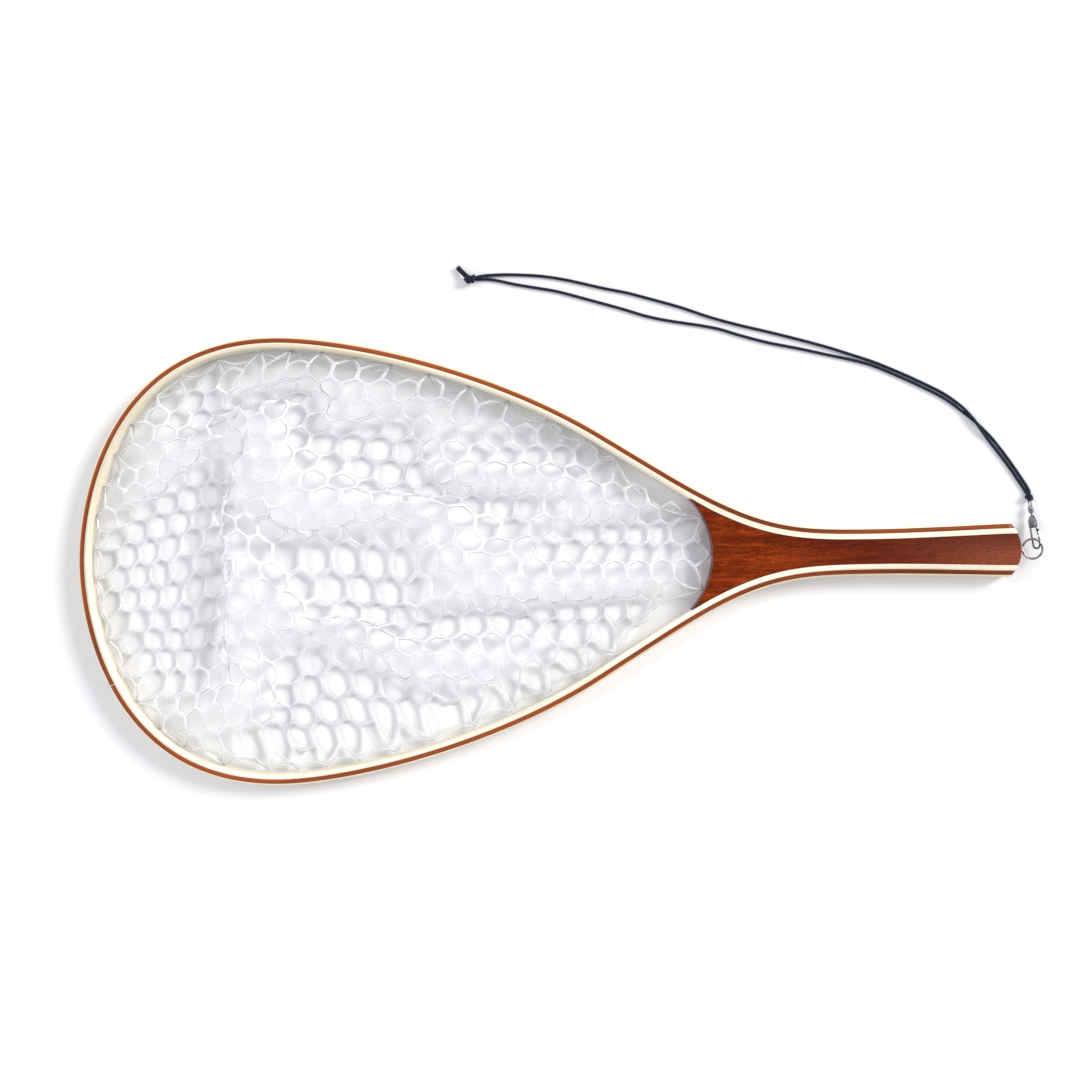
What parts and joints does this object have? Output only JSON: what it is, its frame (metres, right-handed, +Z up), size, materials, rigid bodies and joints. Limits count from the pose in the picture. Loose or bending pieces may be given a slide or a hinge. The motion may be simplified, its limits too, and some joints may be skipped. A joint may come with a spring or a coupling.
{
  "type": "landing net",
  "caption": "Teardrop landing net with a laminated wood hoop and handle, a clear hexagonal mesh bag, a screw eye and an elastic lanyard on a swivel snap.",
  "frame": {"origin": "on the table, under the middle of the net without its lanyard: halfway from the hoop's end to the screw eye's end, and on the net's middle line", "axes": "+X from the hoop to the handle's end, +Z up from the table through the net's thickness, +Y across, to the lanyard's side"},
  "size_m": [0.6428, 0.3456, 0.015],
  "materials": {
    "outer_veneer": "satin varnish, pale ash veneer",
    "mahogany_strip": "satin varnish, red-brown mahogany",
    "ash_strip": "satin varnish, pale ash",
    "core_wood": "gloss varnish, dark figured mahogany",
    "clear_mesh": "clear, glossy moulded elastomer",
    "tie_thread": "clear, glossy",
    "eye_steel": "bright nickel plate",
    "snap_steel": "bright nickel plate",
    "clasp_steel": "satin nickel plate",
    "cord": "woven sleeve over rubber"
  },
  "bodies": {
    "net": {"veneer_upper": "outer_veneer", "veneer_lower": "outer_veneer", "mahogany_upper": "mahogany_strip", "mahogany_lower": "mahogany_strip", "ash_strip": "ash_strip", "handle_core": "core_wood", "net_bag": "clear_mesh", "net_ties": "tie_thread", "screw_eye": "eye_steel", "strand_a": "cord", "strand_b": "cord", "end_knot": "cord", "cord_tails": "cord"},
    "snap": {"snap_hook": "snap_steel", "snap_clasp": "clasp_steel", "gate_rivet": "clasp_steel", "swivel_stem": "snap_steel"},
    "gate": {"snap_gate": "snap_steel"},
    "swivel": {"swivel_barrel": "clasp_steel", "swivel_loop": "snap_steel", "clip_knot": "cord"}
  },
  "joints": [
    {"name": "snap_swing", "type": "hinge", "parent": "net", "child": "snap", "pos_m": [0.31633, 0.0062, 0.0075], "axis": [1, 0, 0], "range_deg": [-90, 120]},
    {"name": "swivel_spin", "type": "hinge", "parent": "snap", "child": "swivel", "pos_m": [0.31445, 0.02586, 0.00435], "axis": [-0.0941, 0.983, -0.1575], "continuous": true},
    {"name": "gate_open", "type": "hinge", "parent": "snap", "child": "gate", "pos_m": [0.31621, 0.01615, 0.00743], "axis": [0.879, 0.0078, -0.4767], "range_deg": [0, 20], "stiffness_Nm_per_rad": 0.002}
  ]
}
